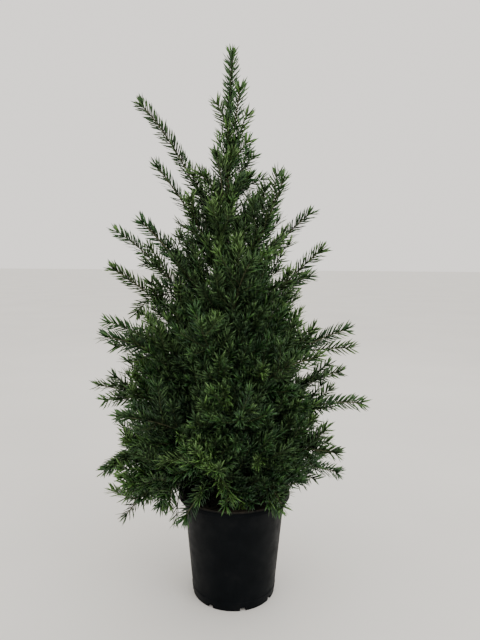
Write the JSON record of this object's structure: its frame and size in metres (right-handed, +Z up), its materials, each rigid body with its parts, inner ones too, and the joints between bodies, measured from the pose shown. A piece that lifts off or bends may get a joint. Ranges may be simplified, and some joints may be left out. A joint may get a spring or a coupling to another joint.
{
  "type": "potted english yew",
  "caption": "Young upright evergreen shrub with flat dark green needles on ascending side branches, standing in a round tapered nursery pot filled with potting soil.",
  "frame": {"origin": "centre of the pot's flat underside, where the plant stands", "axes": "+Z up along the trunk, +X to the right and -Y towards the viewer in the picture"},
  "size_m": [0.4793, 0.3944, 0.942],
  "materials": {
    "pot_plastic": "thin matte moulded plastic, blue-black",
    "potting_soil": "moist dark brown peat potting soil",
    "bark": "thin scaly brown bark",
    "needles": "leathery dark green needles, lighter at the shoot tips"
  },
  "bodies": {
    "root": {"pot": "pot_plastic", "soil": "potting_soil", "trunk": "bark", "bough_01_front_left": "bark", "bough_02_right": "bark", "bough_03_back_left": "bark", "bough_04_right": "bark", "bough_05_left": "bark", "bough_06_back_right": "bark", "bough_07_front_left": "bark", "bough_08_back_left": "bark", "bough_09_right": "bark", "bough_10_front": "bark", "bough_11_left": "bark", "bough_12_back": "bark", "bough_13_right": "bark", "bough_14_left": "bark", "bough_15_front_right": "bark", "bough_16_back_left": "bark", "bough_17_right": "bark", "bough_18_left": "bark", "bough_19_left": "bark", "foliage_01_front_left": "needles", "foliage_02_right": "needles", "foliage_03_back_left": "needles", "foliage_04_right": "needles", "foliage_05_left": "needles", "foliage_06_back_right": "needles", "foliage_07_front_left": "needles", "foliage_08_back_left": "needles", "foliage_09_right": "needles", "foliage_10_front": "needles", "foliage_11_left": "needles", "foliage_12_back": "needles", "foliage_13_right": "needles", "foliage_14_left": "needles", "foliage_15_front_right": "needles", "foliage_16_back_left": "needles", "foliage_17_right": "needles", "foliage_18_left": "needles", "foliage_19_left": "needles", "foliage_20_front": "needles", "foliage_21_front_left": "needles", "foliage_22_front_right": "needles", "foliage_23_back": "needles", "foliage_24_front": "needles", "foliage_25_front": "needles", "foliage_26_back": "needles", "foliage_27_right": "needles", "foliage_28_front": "needles", "foliage_29_front_left": "needles", "foliage_30_right": "needles", "foliage_31_back": "needles", "foliage_32_front_right": "needles", "foliage_33_front_left": "needles", "foliage_34_left": "needles", "foliage_35_front": "needles", "foliage_36_back_right": "needles", "foliage_37_right": "needles", "foliage_top": "needles"}
  },
  "joints": []
}
